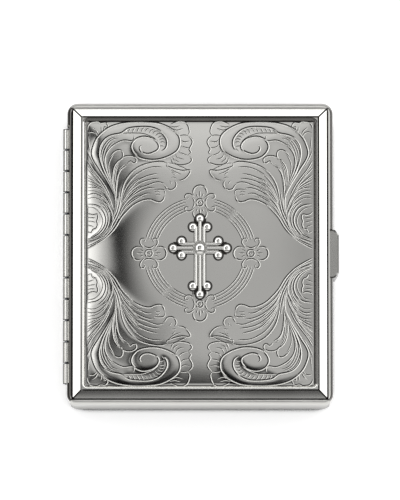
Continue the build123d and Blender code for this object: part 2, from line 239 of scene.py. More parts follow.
def panel_piece(name, node, material):
    """A stamped panel: a fine grid with the cushion's shape, and the same below it."""
    low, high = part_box(node)
    faces_up = low.z > CREST_Z / 2
    step = settings().grid
    xs = np.linspace(low.x, high.x, round((high.x - low.x) / step) + 1)
    ys = np.linspace(low.y, high.y, round((high.y - low.y) / step) + 1)
    x, y = np.meshgrid(xs, ys)
    crown = high.z - low.z - PANEL_SHEET
    bottom = cushion(x, y, 0.0, crown)
    top = bottom + PANEL_SHEET + settings().relief * relief(x, y)
    if faces_up:
        layers = (top + low.z, bottom + low.z)
    else:
        layers = (high.z - bottom, high.z - top)
    points = np.concatenate([np.stack([x, y, z], -1).reshape(-1, 3) for z in layers])
    columns, rows = len(xs), len(ys)
    index = np.arange(rows * columns).reshape(rows, columns)
    quads = np.stack([index[:-1, :-1], index[:-1, 1:], index[1:, 1:], index[1:, :-1]], -1).reshape(-1, 4)
    border = np.concatenate([index[0, :], index[1:, -1], index[-1, -2::-1], index[-2:0:-1, 0]])
    below = index.size
    following = np.roll(border, -1)
    walls = np.stack([border + below, following + below, following, border], -1)
    faces = np.concatenate([quads, quads[:, ::-1] + below, walls])
    return mesh_piece(name, points.tolist(), faces.tolist(), material)


# Ornament: groups of strokes with a share of the full line width. Each stroke is x and y in turn, in millimetres
# from the middle of the panel, for the upper right corner. The other corners are its mirror images.

CORNER_STROKES = (
    (1.25, (
        (
            26.1, 17.3, 27.4, 20.1, 28.7, 22.4, 30.1, 24.6, 31.5, 26.9, 32.9, 29.1, 33.6, 31.3, 33, 33.9, 31.7, 36.4,
            29.1, 38.8, 26.1, 40.2, 22.3, 40.9, 17.5, 41, 13.3, 40.7, 10.6, 39.8, 8.2, 38.4, 6.6, 36.7, 6.2, 34.6,
            6.8, 32.5, 8.2, 31.2, 10.6, 30, 13.3, 29.3, 16.1, 29.3, 18.9, 30, 20.6, 31.5, 21.3, 33.2, 20.9, 34.6,
            19.9, 35.7, 18.2, 36.4, 16.5, 36.4, 14.4, 35.7, 13, 34.3, 12.8, 32.9, 13.7, 31.9, 15.8, 31.1, 17.5, 31.3,
            18.5, 32.2, 18.7, 33.2, 18, 33.8
        ),
        (
            26, 17.7, 27.9, 21.8, 29.6, 25.3, 30.8, 28.4, 31.3, 31.2, 30.8, 33.9, 29.2, 36, 27.2, 37, 24.4, 37.6,
            22.3, 39, 18.9, 39.5, 15.4, 39.4, 12.7, 38.4, 10.8, 36.4, 10.2, 34.6, 10.6, 32.9, 12, 31.9
        ),
    )),
    (1.0, (
        (
            20.6, 36.9, 20.4, 36, 21.1, 35.1, 23.7, 35.3, 26.1, 34.3, 27.9, 32.9, 29.2, 30.8, 29.6, 28.1, 28.9, 25.3,
            27.5, 21.8, 26, 18
        ),
        (
            27.9, 30.1, 26.8, 31.5, 25.4, 32.3, 24.2, 31.9, 23.9, 30.5, 24.4, 29.4, 25.4, 28.8, 26.6, 27, 27.1, 24.6,
            27.2, 22.2, 26.6, 19.4, 25.9, 17.3
        ),
        (22.7, 27.7, 21.6, 28.8, 20.6, 28.1, 19.9, 28.4, 19.7, 29.4, 20.9, 30.3, 22.7, 30.4, 24.1, 29.8, 25.4, 28.4),
        (22.7, 27.4, 24.4, 26.3, 25.4, 24.6, 26, 22.2, 26.1, 20.1, 25.9, 17.7),
        (10.1, 28.2, 12.3, 28.6, 15.1, 28.3, 18.2, 27.4, 20.9, 25.6, 23, 22.9, 24.1, 20.1, 24.6, 17.3),
    )),
    (0.8, (
        (11.6, 26.9, 14.7, 26.9, 17.5, 26, 20.3, 24.2, 22.3, 21.8, 23.7, 19.1),
    )),
    (0.9, (
        (13, 24.9, 16.1, 24.2, 18.9, 22.9, 20.9, 21.1, 22.5, 19.1, 23.6, 17),
        (12.3, 23.4, 15.4, 23, 18.2, 22, 20.9, 20.1, 23, 17.7, 24.1, 15.6),
        (10.9, 21.8, 13.3, 22.2, 16.1, 21.3, 18.9, 20.1, 21.3, 18, 23.4, 15.6, 24.4, 13.9),
        (14, 20.3, 16.1, 20.3, 18.9, 19.2, 21.6, 17.3, 23.7, 14.9, 24.9, 12.5),
        (14.7, 18.6, 16.8, 18.6, 19.2, 17.3, 21.6, 15.6, 23.7, 13.5, 25.3, 10.8),
    )),
    (1.1, (
        (
            10.9, 18.2, 11.3, 16.8, 12.3, 16, 13.9, 16.2, 15.4, 16.8, 17.5, 16.6, 20.3, 15.3, 22.3, 13.5, 24.4, 11.1,
            26.5, 7.7, 29.2, 4.9, 31.7, 3.2, 35, 1.4
        ),
    )),
    (0.9, (
        (24.9, 14.6, 26.1, 11.5, 27.9, 8.3, 29.9, 5.9, 32.4, 4.2, 35, 3),
        (24.4, 13.9, 25.6, 10.8, 27.4, 7.7, 29.6, 5.2, 32, 3.5, 35, 2.2),
        (10.9, 18.2, 10.8, 19.2, 11.4, 19.8, 12.7, 19.9, 14.4, 19.8),
    )),
    (1.0, (
        (11.6, 21.7, 10.8, 21.1, 10.2, 20.1, 8.8, 19.8, 7.6, 20.6, 7.3, 21.8, 8, 22.9),
        (7.1, 22.7, 5.4, 22.9, 3.8, 24.1, 3, 25.9, 5.4, 25.8, 7.8, 26.3, 10.3, 27.3, 10.1, 28.2),
        (9, 29.8, 8.3, 28.2, 6.1, 27.5, 3.3, 28.1, 2.5, 29.4, 3.8, 30.6),
        (3.8, 30.6, 2.7, 31.5, 3.3, 32.5, 2.4, 34.3, 2.5, 35.5, 3.8, 36.9),
        (3.8, 36.9, 3.2, 37.9, 3.8, 40.2, 5, 41.1, 6.8, 41.2, 9.2, 40.3),
    )),
    (0.8, (
        (9.5, 39.8, 7.8, 39.4, 6.1, 39.9), (8.7, 39, 7.1, 38.4, 5.2, 39.1), (6.6, 36.7, 4.9, 36.9, 3.5, 36.7),
        (6.3, 35.8, 5, 34.8, 3, 35.1), (6.2, 34.3, 5.2, 33.2, 3.1, 32.9), (6.8, 32.4, 5.7, 31.2, 3.8, 30.6),
        (7.6, 31.3, 6.8, 29.8, 4.9, 29.3), (8.3, 30.6, 8, 29.3, 6.4, 28.4), (10.1, 28.2, 8.2, 27.9, 5.7, 26.9, 3.7, 26),
        (10.2, 27.3, 8.2, 25.6, 5.7, 24.6),
    )),
    (0.9, (
        (35, 29.1, 33.4, 26.3, 31.3, 23.6, 29.4, 20.8, 27.9, 17.7), (35, 26.5, 33, 24.4, 30.8, 21.8, 28.9, 19.1),
        (35, 24.6, 32.7, 22.7, 30.1, 20.4, 28.4, 17.7), (35, 22.9, 32.4, 21.5, 29.8, 19.6, 27.9, 16.6, 27.2, 14.2),
        (34.8, 20.6, 32, 20.3, 29.6, 18.9, 27.9, 16.3, 26.8, 13.2),
        (35, 18.2, 32.7, 18.6, 30.3, 17.3, 28.4, 14.9, 27.4, 12.2),
    )),
    (1.1, (
        (34.8, 15.4, 32, 14.9, 30.1, 13.4, 29.1, 10.8, 29.6, 8.3, 31.3, 6.1, 33.4, 4.9, 35, 4.4),
    )),
    (1.0, (
        (30.8, 16.3, 28.9, 15.1, 27.6, 13.2, 27.1, 10.8, 27.6, 8.3, 29.2, 5.9, 31.7, 4.4, 35, 3.4),
    )),
    (0.9, (
        (31.7, 16.1, 29.9, 14.7, 28.7, 12.8, 28.3, 10.8, 28.7, 8.5, 30.1, 6.4, 32.4, 5, 35, 4),
    )),
    (1.0, (
        (26, 17.7, 25.7, 15.6, 26, 13.5, 26.7, 11.5),
    )),
    (0.9, (
        (26.8, 19.1, 26.2, 16.3, 26.3, 13.9, 27.1, 10.8), (24.6, 17.3, 24.9, 15.3, 25.4, 13.2, 26.1, 11.1),
        (25.1, 19.1, 25.3, 16.6, 25.5, 14.6),
    )),
    (1.0, (
        (
            35, 13.2, 34.3, 12.3, 33, 12, 31.8, 12.2, 31.6, 10.8, 32, 10.2, 31.7, 9, 32.2, 7.8, 33.1, 7.5, 33.8, 6.4,
            35, 7
        ),
    )),
    (0.8, (
        (35, 11.3, 33.6, 11.1, 32.4, 11.1), (35, 10.1, 33.6, 9.9, 32.4, 9.7), (35, 8.9, 33.9, 8.6, 32.9, 8.2),
    )),
    (1.0, (
        (28.7, 39, 28.6, 40, 29.4, 40.9, 30.8, 40.7, 31.7, 41.2, 32.9, 41.1, 33.9, 40.9, 34.8, 39.8, 34.9, 38.6),
    )),
    (0.9, (
        (28.7, 39, 29.6, 39.6, 29.9, 38.4),
    )),
    (0.8, (
        (30.8, 39.6, 30.5, 38.4, 30.8, 37.6),
    )),
    (0.9, (
        (33.4, 39.3, 32.2, 38.3, 31.5, 37), (34.8, 37.6, 33.4, 37.9, 32.4, 37.4, 31.8, 36.4),
    )),
    (0.8, (
        (29.4, 38.8, 29.8, 38.1, 30.1, 37.4), (25.4, 40.2, 27.9, 39.4, 29.9, 37.9),
        (13, 35, 14.7, 36.2, 16.3, 36.9, 17.8, 37.4, 19.9, 37.5, 22.3, 37.5, 24.4, 37.4),
        (10.8, 34.5, 11.6, 34.8, 12.5, 34.6), (10.9, 35.5, 11.8, 35.7, 12.7, 35.4),
        (11.3, 36.4, 12.1, 36.6, 13.1, 36.1), (12, 37.3, 12.8, 37.4, 13.8, 36.7), (13, 38.1, 14, 38, 14.7, 37.2),
        (14.3, 38.7, 15.1, 38.4, 15.8, 37.5), (15.7, 39.1, 16.5, 38.7, 17, 37.9), (17, 39.3, 17.8, 38.8, 18.2, 37.7),
        (18.4, 39.4, 19.1, 38.8, 19.6, 37.7), (19.8, 39.4, 20.5, 38.8, 20.9, 37.7),
        (21.1, 39.2, 21.8, 38.7, 22.2, 37.7), (22.3, 38.9, 23, 38.4, 23.3, 37.7), (23.4, 38.4, 23.9, 38, 24.1, 37.6),
        (11.1, 33.3, 12.1, 33.5, 12.9, 33.3),
    )),
    (0.75, (
        (25.1, 36, 26.7, 35.7, 28.2, 34.6, 29.4, 32.5, 30, 30.1, 29.7, 27.4, 28.6, 24.2, 27.2, 21.1, 26.3, 18.7),
        (25.9, 36.4, 27.7, 35.8, 29.2, 34.3, 30.4, 31.9, 30.6, 29.1, 29.9, 26.3, 28.6, 23.2, 27.2, 20.4),
        (27, 36.7, 28.9, 35.7, 30.3, 33.9, 31.1, 31.2, 30.8, 28.4, 29.9, 25.3, 28.4, 22.2, 27, 19.6),
    )),
    (0.7, (
        (26.5, 34.9, 27.9, 33.7, 29, 31.6, 29.4, 29.1, 29, 26.3, 27.9, 23.2, 26.8, 20.1),
        (24.8, 28.9, 25.9, 27.4, 26.7, 24.9, 26.8, 22.2, 26.2, 19.1),
        (26.7, 31.2, 27.9, 29.1, 28.4, 27, 28, 24.2, 27.2, 21.5, 26.3, 18.7),
        (25.3, 27.7, 26.1, 25.6, 26.3, 22.9, 26.1, 20.1), (23.4, 27.9, 24.8, 26.5, 25.5, 24.6, 25.9, 21.8, 25.9, 19.1),
        (23.9, 27.4, 25.1, 25.3, 25.6, 22.9, 25.8, 20.4),
    )),
    (0.65, (
        (16.1, 27.9, 18.9, 26.9, 21.3, 24.9, 23, 22.5, 24.1, 19.8, 24.8, 17),
        (17.1, 26, 19.6, 24.6, 21.6, 22.5, 23.2, 20.1, 24.1, 17.7),
        (17.1, 23.9, 19.6, 22.9, 21.6, 21.1, 23.2, 18.7, 24.2, 16.3),
        (17.1, 22.5, 19.6, 21.7, 21.6, 19.9, 23.4, 17.5, 24.4, 15.3),
        (17.5, 21.1, 19.7, 20.1, 21.8, 18.4, 23.6, 15.9, 24.8, 13.5),
        (17.5, 19.8, 19.9, 18.7, 22, 17.2, 23.9, 14.7, 25.3, 12.2),
        (17.1, 18.4, 19.6, 17.6, 21.8, 16.1, 23.9, 13.7, 25.6, 10.8),
        (16.8, 17.6, 19.2, 17.2, 21.6, 15.8, 23.7, 13.4, 25.3, 10.9),
    )),
    (0.6, (
        (20.3, 21.8, 22.3, 19.8, 23.9, 17, 24.8, 14.9), (21.6, 24.6, 23.4, 21.8, 24.4, 18.7, 24.9, 16.3),
    )),
    (0.7, (
        (7.6, 24.2, 8.3, 25.1, 9, 25.3), (7.3, 23.4, 8.3, 23.7, 8.9, 23.6), (8.8, 21.5, 9.2, 22.4, 9.8, 22.5),
        (12.3, 18.7, 13, 19.3, 14.2, 19.1), (12.1, 18, 13, 18.4, 14, 18), (20.3, 14.9, 20.9, 14.5),
        (21.3, 14.1, 22, 13.5), (22.4, 13.1, 23, 12.5), (23.4, 12, 24, 11.3), (24.4, 10.6, 24.9, 9.8),
        (25.3, 9.2, 25.8, 8.5), (26.3, 7.8, 26.9, 7.2), (35, 27.7, 33.2, 25.3, 31.3, 22.7, 29.6, 20.1, 28.2, 17.7),
        (35, 23.7, 32, 22, 29.8, 19.9, 28.2, 17.3, 27.4, 14.9),
        (34.8, 21.8, 32.2, 20.8, 29.9, 19.1, 28.4, 16.6, 27.4, 13.9),
        (34.8, 19.6, 32.5, 19.3, 30.3, 18, 28.6, 15.8, 27.5, 12.8), (30.6, 16.5, 29.1, 15.3, 28, 13.5, 27.5, 11.5),
        (35, 17, 33.2, 17.4, 31.3, 16.8, 29.6, 15.3, 28.4, 13.2, 27.9, 11.1),
        (26.7, 11.5, 28.2, 8.3, 30.3, 5.9, 32.5, 4.4, 35, 3.6), (27.1, 10.9, 27.7, 8.9, 29.2, 6.8, 31.7, 5.1, 35, 3.9),
        (26.6, 17.7, 26.4, 15.3, 26.7, 13.2, 27.2, 11.1), (25.5, 17.3, 25.9, 14.9, 26.4, 12.5, 27.4, 9.7),
        (35, 14.4, 33, 14.2, 31.3, 13, 30.3, 11.3, 30.1, 9.6, 30.8, 7.7, 32.2, 6.1, 33.9, 5.2),
    )),
    (0.8, (
        (35, 32.2, 34.3, 30.5, 33.4, 28.8, 32.2, 26.7),
    )),
    (0.7, (
        (34.6, 36.5, 34.5, 34.3, 34.1, 31.5),
    )),
)

# Bodies of the scroll and its leaves, which stand up a little: their share of the relief and their outlines
CORNER_BODIES = (
    (1.0, (
        26.1, 17.3, 28.8, 22.4, 31.5, 26.8, 33.6, 31.3, 31.7, 36.4, 29.1, 38.8, 26.1, 40.2, 22.3, 40.9, 17.5, 41,
        13.3, 40.7, 10.6, 39.8, 8.2, 38.4, 6.6, 36.7, 6.2, 34.6, 6.8, 32.5, 8.2, 31.2, 10.6, 30, 13.3, 29.3, 16.1, 29.3,
        18.9, 30, 20.6, 31.5, 21.3, 33.2, 21, 34.6, 19.9, 35.7, 18.2, 36.4, 16.5, 36.4, 14.4, 35.7, 13, 34.3, 12, 31.9,
        10.6, 32.9, 10.2, 34.6, 10.8, 36.4, 12.7, 38.4, 15.4, 39.4, 18.9, 39.5, 22.3, 38.9, 24.4, 37.6, 27.2, 37,
        29.3, 36, 30.8, 33.9, 31.3, 31.2, 30.8, 28.4, 27.9, 21.8
    )),
    (0.8, (
        10.1, 28.2, 15.1, 28.3, 18.2, 27.4, 21, 25.6, 23, 22.9, 24.1, 20.1, 24.9, 13, 26.5, 9.5, 29.3, 5, 24.4, 11.1,
        22.3, 13.5, 20.3, 15.3, 17.5, 16.6, 15.4, 16.8, 12.3, 16, 10.9, 18.2, 13, 19.8, 8.9, 19.8, 7.3, 21.8, 7.1, 22.5,
        3.8, 24, 3, 25.9, 7.8, 26.3
    )),
    (0.7, (
        20.5, 36.8, 21.1, 35.1, 23.7, 35.3, 26.1, 34.3, 27.9, 32.9, 29.3, 30.8, 29.6, 28.1, 27.5, 21.8, 29, 24.5,
        31, 29, 31, 32.5, 29, 36, 25.5, 37.5, 22.5, 37.6
    )),
    (0.7, (
        35, 29.1, 31.5, 24.5, 28.6, 19.8, 27, 15, 27.2, 11, 29.5, 6.5, 34.9, 3.6, 35, 4.4, 31, 7, 29.3, 10.8,
        30.1, 13.6, 34.9, 15.5
    )),
)


def circle(x, y, radius, start=0.0, end=360.0, count=24):
    """Points on an arc about x, y, from one angle in degrees to another."""
    turns = np.radians(np.linspace(start, end, count))
    return [(x + radius * math.cos(t), y + radius * math.sin(t)) for t in turns]


ROSETTE_RADIUS = 15.8
ROSETTE_CURL = ((1.4, 1.5), (2.1, 2.2), (2.7, 3.2), (2.5, 4.4), (1.6, 4.6), (1.2, 3.9), (1.7, 3.4))
ROSETTE_SADDLE = ((-1.9, 2.6), (-1.0, 1.9), (0, 1.65), (1.0, 1.9), (1.9, 2.6))


def rosette_strokes(turn):
    """A rosette on the ring, drawn lying on its right side and turned about the middle of the panel."""
    strokes = [(0.9, circle(0, 0, 0.4, count=12)), (1.0, circle(0, 0, 1.15, count=18))]
    for side in (-1, 1):
        facing = 180 * (side < 0)
        strokes.append((1.1, circle(side * 3.3, 0, 2.1, facing - 118, facing + 118, 16)))
        for angle in (-42, -21, 0, 21, 42):
            heading = math.radians(angle)
            reach = 3.9 - abs(angle) / 30
            strokes.append((0.85, [(side * r * math.cos(heading), r * math.sin(heading)) for r in (1.7, reach)]))
        for edge in (-1, 1):
            strokes.append((1.0, [(side * u, edge * v) for u, v in ROSETTE_CURL]))
    for edge in (-1, 1):
        strokes.append((1.0, [(u, edge * v) for u, v in ROSETTE_SADDLE]))
    c, s = math.cos(turn), math.sin(turn)
    return [
        (width, [((u + ROSETTE_RADIUS) * c - v * s, (u + ROSETTE_RADIUS) * s + v * c) for u, v in points])
        for width, points in strokes
    ]


def ring_strokes():
    """The ring's fine lines, broken by its four rosettes."""
    strokes = []
    for quarter in range(4):
        middle = 90 * quarter + 45
        for radius, reach, width in (
            (17.3, 31, 0.8), (16.45, 31, 0.7), (15.6, 30.5, 0.7), (14.6, 29.5, 0.7), (13.75, 29, 0.8),
        ):
            strokes.append((width, circle(0, 0, radius, middle - reach, middle + reach, 40)))
        strokes += rosette_strokes(math.radians(90 * quarter))
    return strokes


def pairs(numbers):
    """Points from x and y in turn."""
    return list(zip(numbers[::2], numbers[1::2]))


def corner_strokes():
    """The scroll's strokes in all four corners."""
    return [
        (width, [(x * side_x, y * side_y) for x, y in pairs(numbers)])
        for side_x in (-1, 1) for side_y in (-1, 1) for width, group in CORNER_STROKES for numbers in group
    ]


def inside_outline(x, y, outline):
    """Which of the points lie inside a closed outline."""
    inside = np.zeros(x.shape, bool)
    for (x1, y1), (x2, y2) in zip(outline, outline[1:] + outline[:1]):
        if y1 != y2:
            crosses = (y1 > y) != (y2 > y)
            inside ^= crosses & (x < (x2 - x1) * (y - y1) / (y2 - y1) + x1)
    return inside


# Spacing of the relief's grid and softness of its edges, in millimetres
RELIEF_STEP = 0.25
RELIEF_BLUR = 0.7


def corner_relief():
    """How far the scroll and leaves stand up, from 0 to 1, on a grid over one quarter of the panel."""
    x, y = np.meshgrid(np.arange(0, 39, RELIEF_STEP), np.arange(0, 45, RELIEF_STEP))
    lift = np.zeros(x.shape)
    for share, numbers in CORNER_BODIES:
        lift = np.maximum(lift, share * inside_outline(x, y, pairs(numbers)))
    reach = int(3 * RELIEF_BLUR / RELIEF_STEP)
    kernel = np.exp(-0.5 * (np.arange(-reach, reach + 1) * RELIEF_STEP / RELIEF_BLUR) ** 2)
    kernel /= kernel.sum()
    for axis in (0, 1):
        padded = np.pad(lift, [(reach, reach) if a == axis else (0, 0) for a in (0, 1)], mode="symmetric")
        lift = np.apply_along_axis(lambda row: np.convolve(row, kernel, "valid"), axis, padded)
    return lift


RELIEF = corner_relief()


def relief(x, y):
    """How far the panel's surface stands up at x, y in metres, as a share of the full relief."""
    column, row = np.abs(x) / MM / RELIEF_STEP, np.abs(y) / MM / RELIEF_STEP
    i = np.clip(row.astype(int), 0, RELIEF.shape[0] - 2)
    j = np.clip(column.astype(int), 0, RELIEF.shape[1] - 2)
    u, v = column - j, row - i
    low = RELIEF[i, j] * (1 - u) + RELIEF[i, j + 1] * u
    high = RELIEF[i + 1, j] * (1 - u) + RELIEF[i + 1, j + 1] * u
    return low * (1 - v) + high * v


def flowing(points, step=0.3):
    """A smooth line through points, sampled at about the given step."""
    p = np.array(points, float)
    p = np.vstack([2 * p[0] - p[1], p, 2 * p[-1] - p[-2]])
    samples = []
    for i in range(1, len(p) - 2):
        count = max(2, int(math.dist(p[i], p[i + 1]) / step))
        t = np.linspace(0, 1, count, endpoint=False)[:, None]
        samples.append(0.5 * (
            2 * p[i] + (p[i + 1] - p[i - 1]) * t + (2 * p[i - 1] - 5 * p[i] + 4 * p[i + 1] - p[i + 2]) * t**2
            + (3 * p[i] - p[i - 1] - 3 * p[i + 1] + p[i + 2]) * t**3
        ))
    return np.vstack([*samples, p[-2:-1]])


# Half widths and heights of a line's cross-section, and the direction that the side with painted shade faces
LINE_PROFILE = (
    (-1, 0), (-0.7, 0.51), (-0.35, 0.88), (0, 1), (0.35, 0.88), (0.7, 0.51), (1, 0), (0.6, -0.8), (-0.6, -0.8),
)
SHADED_SIDE = (-0.75, 0.66, 0.0)
# How long a line's tapering end is, and how far the lines lie above the panel
TAPER = 1.6 * MM
LINE_GAP = 0.01 * MM


def curve_piece(name, splines, cyclic=False):
    """A curve object with straight-sided splines: each a list of points, with a radius for each point."""
    data = bpy.data.curves.new(name, "CURVE")
    data.dimensions = "3D"
    for points, radii in splines:
        spline = data.splines.new("POLY")
        spline.points.add(len(points) - 1)
        spline.points.foreach_set("co", np.column_stack([points, np.ones(len(points))]).ravel())
        spline.points.foreach_set("radius", radii)
        spline.use_cyclic_u = cyclic
    return new_object(name, data)


def line_tree():
    """Sweeps a profile along every spline, flat on the panel, and keeps where each point is on the profile."""
    tree = bpy.data.node_groups.new("chased_line", "GeometryNodeTree")
    face = tree.interface
    face.new_socket("Geometry", in_out="OUTPUT", socket_type="NodeSocketGeometry")
    for name, kind in (
        ("Geometry", "Geometry"), ("Profile", "Object"), ("Half width", "Float"), ("Height", "Float"),
        ("Step", "Float"), ("Outward", "Float"), ("Shaded side", "Vector"), ("Material", "Material"),
    ):
        face.new_socket(name, in_out="INPUT", socket_type="NodeSocket" + kind)
    inputs = add(tree, "NodeGroupInput").outputs
    profile = add(tree, "GeometryNodeObjectInfo", {"Object": inputs["Profile"]}).outputs["Geometry"]
    place = add(tree, "ShaderNodeSeparateXYZ", (add(tree, "GeometryNodeInputPosition"),)).outputs
    for name, axis in (("rise", "Y"), ("across", "X")):
        profile = add(
            tree, "GeometryNodeStoreNamedAttribute", {"Geometry": profile, "Name": name, "Value": place[axis]},
            data_type="FLOAT", domain="POINT",
        )
    wide = add(tree, "ShaderNodeMath", (place["X"], inputs["Half width"]), operation="MULTIPLY")
    tall = add(tree, "ShaderNodeMath", (place["Y"], inputs["Height"]), operation="MULTIPLY")
    down = add(tree, "ShaderNodeMath", (inputs["Outward"], -1.0), operation="MULTIPLY")
    turned = add(tree, "ShaderNodeMath", (tall, down), operation="MULTIPLY")
    scaled = add(tree, "ShaderNodeCombineXYZ", (wide, turned))
    profile = add(tree, "GeometryNodeSetPosition", {"Geometry": profile, "Position": scaled})
    even = add(
        tree, "GeometryNodeResampleCurve", {"Curve": inputs["Geometry"], "Length": inputs["Step"]}, mode="LENGTH"
    )
    flat = add(tree, "GeometryNodeSetCurveNormal", {"Curve": even}, mode="Z_UP")
    normal = add(tree, "GeometryNodeInputNormal")
    facing = add(tree, "ShaderNodeVectorMath", (normal, inputs["Shaded side"]), operation="DOT_PRODUCT")
    faced = add(
        tree, "GeometryNodeStoreNamedAttribute", {"Geometry": flat, "Name": "facing", "Value": facing},
        data_type="FLOAT", domain="POINT",
    )
    swept = add(
        tree, "GeometryNodeCurveToMesh",
        {"Curve": faced, "Profile Curve": profile, "Scale": add(tree, "GeometryNodeInputRadius"), "Fill Caps": True},
    )
    real = add(tree, "GeometryNodeRealizeInstances", {"Geometry": swept})
    dressed = add(tree, "GeometryNodeSetMaterial", {"Geometry": real, "Material": inputs["Material"]})
    add(tree, "NodeGroupOutput", {"Geometry": dressed})
    return tree


def run_nodes(name, source, tree, values):
    """The plain mesh that a node tree makes of an object. The object goes."""
    modifier = source.modifiers.new("nodes", "NODES")
    modifier.node_group = tree
    for item in tree.interface.items_tree:
        if item.in_out == "INPUT" and item.name in values:
            modifier[item.identifier] = values[item.name]
    bpy.context.view_layer.update()
    evaluated = source.evaluated_get(bpy.context.evaluated_depsgraph_get())
    mesh = bpy.data.meshes.new_from_object(evaluated)
    bpy.data.objects.remove(source)
    mesh.name = name
    work = bmesh.new()
    work.from_mesh(mesh)
    bmesh.ops.recalc_face_normals(work, faces=work.faces)
    for face in work.faces:
        face.smooth = len(face.verts) == 4
    work.to_mesh(mesh)
    work.free()
    return new_object(name, mesh)


def lines_piece(name, strokes, node, material, step=0.5):
    """Raised lines on a panel, each tapering at its ends."""
    low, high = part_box(node)
    outward = 1 if low.z > CREST_Z / 2 else -1
    values = settings()
    crown = high.z - low.z - PANEL_SHEET
    splines = []
    for width, points in strokes:
        path = flowing(points) * MM
        length = np.concatenate([[0], np.cumsum(np.hypot(*np.diff(path, axis=0).T))])
        end = np.minimum(length, length[-1] - length)
        taper = np.clip(end / min(TAPER, 0.35 * length[-1]), 0, 1) ** 0.6
        surface = cushion(path[:, 0], path[:, 1], PANEL_SHEET, crown) + values.relief * relief(path[:, 0], path[:, 1])
        height = low.z + surface if outward > 0 else high.z - surface
        points_3d = np.column_stack([path, height + outward * LINE_GAP])
        closed = math.dist(points[0], points[-1]) < 0.01
        if closed:
            taper[:] = 1
        splines.append((points_3d, width * (0.2 + 0.8 * taper)))
    source = curve_piece(name + "_paths", splines)
    profile = curve_piece("line_profile", [([(x, y, 0) for x, y in LINE_PROFILE], [1.0] * len(LINE_PROFILE))], True)
    piece = run_nodes(name, source, line_tree(), {
        "Profile": profile, "Half width": values.line_width / 2, "Height": values.line_height, "Step": step * MM,
        "Outward": float(outward), "Shaded side": SHADED_SIDE, "Material": material,
    })
    bpy.data.objects.remove(profile)
    return piece


# Operators

# Levels of the studio's light, and how much of its own white the paper shows
OVERHEAD_LEVEL = 0.53
WALL_LEVEL = 2.3
PAPER_LIFT = 0.42
# Heights from 0 to 1, level to overhead, between which each part of the light tent gives way to the next
SKIRT_TOP = (0.44, 0.49)
WALL_TOP = (0.75, 0.79)
COLLAR_TOP = (0.93, 0.96)
# Where the camera looks, up the picture from the middle of the case
CAMERA_AIM = 0.96 * MM


class MakeStage(bpy.types.Operator):
    """Makes the floor, the studio light and the camera."""

    bl_idname = "cigarette_case.stage"
    bl_label = "Stage"

    def execute(self, context):
        floor = mesh_piece(
            "floor", [(-6, -6, 0), (6, -6, 0), (6, 6, 0), (-6, 6, 0)], [(0, 1, 2, 3)], floor_material(), False
        )
        studio_world()
        place_camera()
        context.scene.view_settings.view_transform = "Standard"
        return {"FINISHED"}


def floor_material():
    """White seamless paper: matt, and a plain white to the eye wherever no shadow falls."""
    material, tree, shader = new_material("white_paper")
    place = add(tree, "ShaderNodeTexCoord").outputs["Object"]
    # Fibres about 1 mm long
    fibre = add(tree, "ShaderNodeTexNoise", {"Vector": place, "Scale": 900.0, "Detail": 4.0})
    paper = add(tree, "ShaderNodeValToRGB", (fibre,), [(0.3, linear("#E9E9E9")), (0.7, linear("#EBEBEB"))])
    # The contact shadow is painted into the paper's colour from ambient occlusion, turned so that it lies at the lower
    # edge: the light comes mostly from the top of the picture.
    close = add(tree, "ShaderNodeAmbientOcclusion", {"Distance": 5 * MM, "Normal": (0, 0.7, 0.7)}, samples=16)
    open_sky = add(tree, "ShaderNodeMapRange", (close.outputs["AO"], 0.50, 0.59, 0.12, 1.0))
    tint = add(tree, "ShaderNodeMix", {"Factor": open_sky, "A": (0, 0, 0, 1), "B": paper}, data_type="RGBA")
    path = add(tree, "ShaderNodeLightPath").outputs
    seen = add(tree, "ShaderNodeMath", (path["Is Camera Ray"], path["Is Glossy Ray"]), operation="ADD")
    seen = add(tree, "ShaderNodeMath", (seen, path["Is Transmission Ray"]), operation="ADD", use_clamp=True)
    lift = add(tree, "ShaderNodeMath", (seen, PAPER_LIFT), operation="MULTIPLY")
    lift = add(tree, "ShaderNodeMath", (lift, open_sky), operation="MULTIPLY")
    connect(tree, shader, {
        "Base Color": tint, "Roughness": 1.0, "Emission Color": (1, 1, 1, 1), "Emission Strength": lift,
    })
    return material


